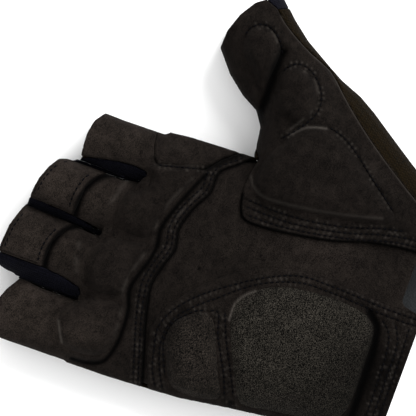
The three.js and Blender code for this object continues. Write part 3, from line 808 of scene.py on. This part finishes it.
for name, look in padding.items():
    solidTop = topOf(nodes[name].data)
    known = np.isfinite(solidTop)
    height, _ = blurred(np.where(known, solidTop, 0), known.astype(float), 1.6)
    fade = softSide(look["soft"])
    rise = look["rise"] * (1 + swelling["softRise"] * fade)
    depth = depthInLoop(padLoops[name], 12)
    swell = 1 - (1 - np.clip(depth / rise, 0, 1)) ** 2
    swell = swell ** (swelling["curve"] + swelling["softCurve"] * fade)
    crown = base + (np.maximum(height + 0.5 * relief, base + 0.5) - base) * swell
    piece = evenCopy(name, name + "_padding", swelling["voxel"])
    points = readPoints(piece.data)
    x, y, z = points.T
    low = sampled(under, x, y) - 0.2
    high = sampled(height, x, y)
    share = np.clip((z - low) / np.maximum(high - low, 0.2), 0, 1)
    underside = sampled(base, x, y) - swelling["base"]
    points[:, 2] = (1 - share) * underside + share * sampled(crown, x, y)
    points = relaxed(piece.data, points, swelling["rounds"])
    writePoints(piece.data, points)
    paintLightAndShade(piece, points)
    settle(piece, name, look["finish"])
    tops = np.where(depth > 0.1, np.fmax(tops, crown), tops)
    print(piece.name, len(piece.data.polygons))

# Pull tabs, fourchettes, edge trim, back and facing.
others = {
    "pull_tab_middle": {"piece": "middle_pull_tab", "voxel": 0.45, "rounds": 6, "finish": "suede"},
    "pull_tab_ring": {"piece": "ring_pull_tab", "voxel": 0.45, "rounds": 6, "finish": "suede"},
    "fourchette_index_middle": {"piece": "index_middle_knit", "voxel": 0.5, "rounds": 6, "finish": "knit"},
    "fourchette_middle_ring": {"piece": "middle_ring_knit", "voxel": 0.5, "rounds": 6, "finish": "knit"},
    "fourchette_ring_little": {"piece": "ring_little_knit", "voxel": 0.5, "rounds": 6, "finish": "knit"},
    "thumb_edge": {"piece": "thumb_edge_knit", "voxel": 0.45, "rounds": 4, "finish": "knit"},
    "thumb_back": {"piece": "thumb_back_stretch", "voxel": 0.6, "rounds": 3, "finish": "stretch"},
    "back_panel": {"piece": "back_stretch", "voxel": 0.95, "rounds": 8, "finish": "stretch"},
    "cuff_facing": {"piece": "cuff_facing_lining", "voxel": 0.6, "rounds": 2, "finish": "facing"},
}
tabRoots = {  # the inner edge of each tab, where it leaves the stall
    "pull_tab_middle": [(15.4, 62.4), (11.9, 66.2), (7.2, 68.6), (1.5, 69.6), (-4, 68.7)],
    "pull_tab_ring": [(-9.8, 68.2), (-12.3, 71.3), (-17.5, 73.8), (-22.8, 74.3), (-27.6, 73.4)],
}
tabSlide = {"back": 0.25, "over": 8.0}  # mm that the lifted edge is drawn back, fading out over a length
gussets = {  # y, x of the slit's middle: the two knit walls meet there below the rim
    "fourchette_index_middle": [(45, 17.0), (55, 16.6), (60, 16.4), (74, 16.4), (85, 16.4)],
    "fourchette_middle_ring": [(53, -8.2), (60, -8.1), (66, -8.0), (74, -7.7), (90, -7.2)],
    "fourchette_ring_little": [(53, -35.6), (60, -35.8), (80, -35.6), (93, -35.5)],
}
gussetEnds = {  # y where the two walls start to part again, and where they have parted
    "fourchette_index_middle": (74, 77),
    "fourchette_middle_ring": (86, 89),
    "fourchette_ring_little": (80, 84),
}
gussetFold = {"reach": 1.7, "low": 14.0, "high": 19.0, "apart": 0.02}  # mm; low and high are heights

for name, look in others.items():
    piece = evenCopy(name, look["piece"], look["voxel"])
    points = relaxed(piece.data, readPoints(piece.data), look["rounds"])
    if name in tabRoots:
        away = points[:, None, :2] - smoothRow(tabRoots[name])[None]
        near = np.hypot(away[..., 0], away[..., 1]).min(1)
        points[:, 1] += tabSlide["back"] * np.clip(1 - near / tabSlide["over"], 0, 1)
    if name in gussets:
        middle = np.interp(points[:, 1], *zip(*gussets[name]))
        off = points[:, 0] - middle
        pull = gussetFold["reach"] * (1 - ease(points[:, 2], gussetFold["low"], gussetFold["high"]))
        pull *= 1 - ease(points[:, 1], *gussetEnds[name])
        points[:, 0] = middle + np.sign(off) * np.maximum(np.abs(off) - pull, gussetFold["apart"])
    if look["finish"] == "stretch":
        points += fullness["stretch"] * readVectors(piece.data, "normal")
        seamLow = sideSeam["back"] - sideSeam["over"]
        points[:, 2] += sideSeam["draw"] * ease(points[:, 2], seamLow, sideSeam["back"])
    points[:, 2] = np.maximum(points[:, 2], 0.0)
    writePoints(piece.data, points)
    paintLightAndShade(piece, points)
    settle(piece, name, look["finish"])
    print(look["piece"], len(piece.data.polygons))
    if name in tabRoots:
        tops = np.fmax(tops, topOf(piece.data))

tabRows = {
    "middle_tab_stitches": [
        smoothRow([(14.2, 65.6), (12.8, 67.6), (10.4, 69.6), (4.8, 71.2), (-0.7, 71.5), (-3.4, 71.1)]),
        smoothRow([(14.2, 78), (12.8, 80.6), (9.2, 82.9), (3.9, 84.8), (-3.2, 85.8)]),
    ],
    "ring_tab_stitches": [
        smoothRow([(-8.9, 70.4), (-11.3, 72.6), (-15.7, 74.8), (-20.5, 76), (-25.1, 76), (-27.3, 75.7)]),
        smoothRow([(-8.4, 86.4), (-11.6, 87.9), (-17.6, 89.6), (-23, 90.1), (-27.2, 90.2)]),
    ],
}


def bead(bm, start, end, wide, thick, lift):
    # A flattened bead from start to end, lying on the leather.
    run = end - start
    side = run.cross(Vector((0, 0, 1))).normalized()
    up = side.cross(run).normalized()
    middle = (start + end) / 2 + up * lift
    turn = Matrix((run / 2, side * wide / 2, up * thick / 2)).transposed() * mm
    bmesh.ops.create_uvsphere(bm, u_segments=8, v_segments=5, radius=1,
                              matrix=Matrix.Translation(middle * mm) @ turn.to_4x4())


def joined(name, bm, finish):
    bmesh.ops.recalc_face_normals(bm, faces=bm.faces)
    piece = objectFrom(bm, name)
    roundShaded(piece.data)
    settle(piece, None, finish)


def sew(name, rows):
    # A bead of thread for each stitch, and after it a black bead for the painted shadow in the needle hole.
    known = np.isfinite(tops)
    height, support = blurred(np.where(known, tops, 0), known.astype(float), 0.4)
    threads, holeShadows = bmesh.new(), bmesh.new()
    thick = sewing["thickness"]
    count = 0
    for row in rows:
        for spots in zip(*stitchSpots(row)):
            x, y = np.array(spots).T
            z = sampled(height, x, y)
            if z.min() < sewing["lowest"] or np.ptp(z) > sewing["steepest"]:
                continue
            if sampled(support, x, y).min() < sewing["support"]:
                continue
            a, b, c, d = (Vector(spot) for spot in zip(x, y, z))
            bead(threads, a, b, thick, thick * sewing["flatness"], sewing["lift"])
            bead(holeShadows, c, d, sewing["holeShadow"], sewing["holeShadowHeight"], sewing["holeShadowLift"])
            count += 1
    joined(name, threads, "thread")
    joined(name.replace("stitches", "needle_hole_shadows"), holeShadows, "holeShadow")
    print(name, count, "stitches")


for name, rows in {**stitchRows, **tabRows}.items():
    sew(name, rows)

# Pale floor and soft studio light from the upper right of the picture. Lengths are in m.
studio = {
    "world": 1.32,
    "key": 34.0,
    "keySize": 1.1,
    "keySide": (0.907, -0.423, 0.0),
    "keyDistance": 1.2,
    "keyHeight": 0.95,
    "middle": (0.015, 0.01, 0.0),
    "floor": 0.9,
    "floorHalf": 6.0,
    "floorDrop": 0.0002,
}


def makeFloor():
    bm = bmesh.new()
    bmesh.ops.create_grid(bm, x_segments=1, y_segments=1, size=studio["floorHalf"])
    floor = objectFrom(bm, "floor")
    floor.location.z = -studio["floorDrop"]
    paint = bpy.data.materials.new("floor_white")
    paint.use_nodes = True
    shader = paint.node_tree.nodes["Principled BSDF"]
    shader.inputs["Base Color"].default_value = (*[studio["floor"]] * 3, 1)
    shader.inputs["Roughness"].default_value = 1.0
    shader.inputs["Specular IOR Level"].default_value = 0.0
    floor.data.materials.append(paint)


def makeLight():
    world = bpy.data.worlds.new("studio")
    world.use_nodes = True
    sky = world.node_tree.nodes["Background"]
    sky.inputs["Color"].default_value = (1, 1, 1, 1)
    sky.inputs["Strength"].default_value = studio["world"]
    scene.world = world
    lamp = bpy.data.lights.new("key", "AREA")
    lamp.shape = "DISK"
    lamp.size = studio["keySize"]
    lamp.energy = studio["key"]
    key = bpy.data.objects.new("key", lamp)
    middle = Vector(studio["middle"])
    high = Vector((0, 0, studio["keyHeight"]))
    key.location = middle + Vector(studio["keySide"]) * studio["keyDistance"] + high
    key.rotation_mode = "QUATERNION"
    key.rotation_quaternion = (key.location - middle).to_track_quat("Z", "Y")
    scene.collection.objects.link(key)
    scene.view_settings.view_transform = "Standard"


makeFloor()
makeLight()
print("studio ready")
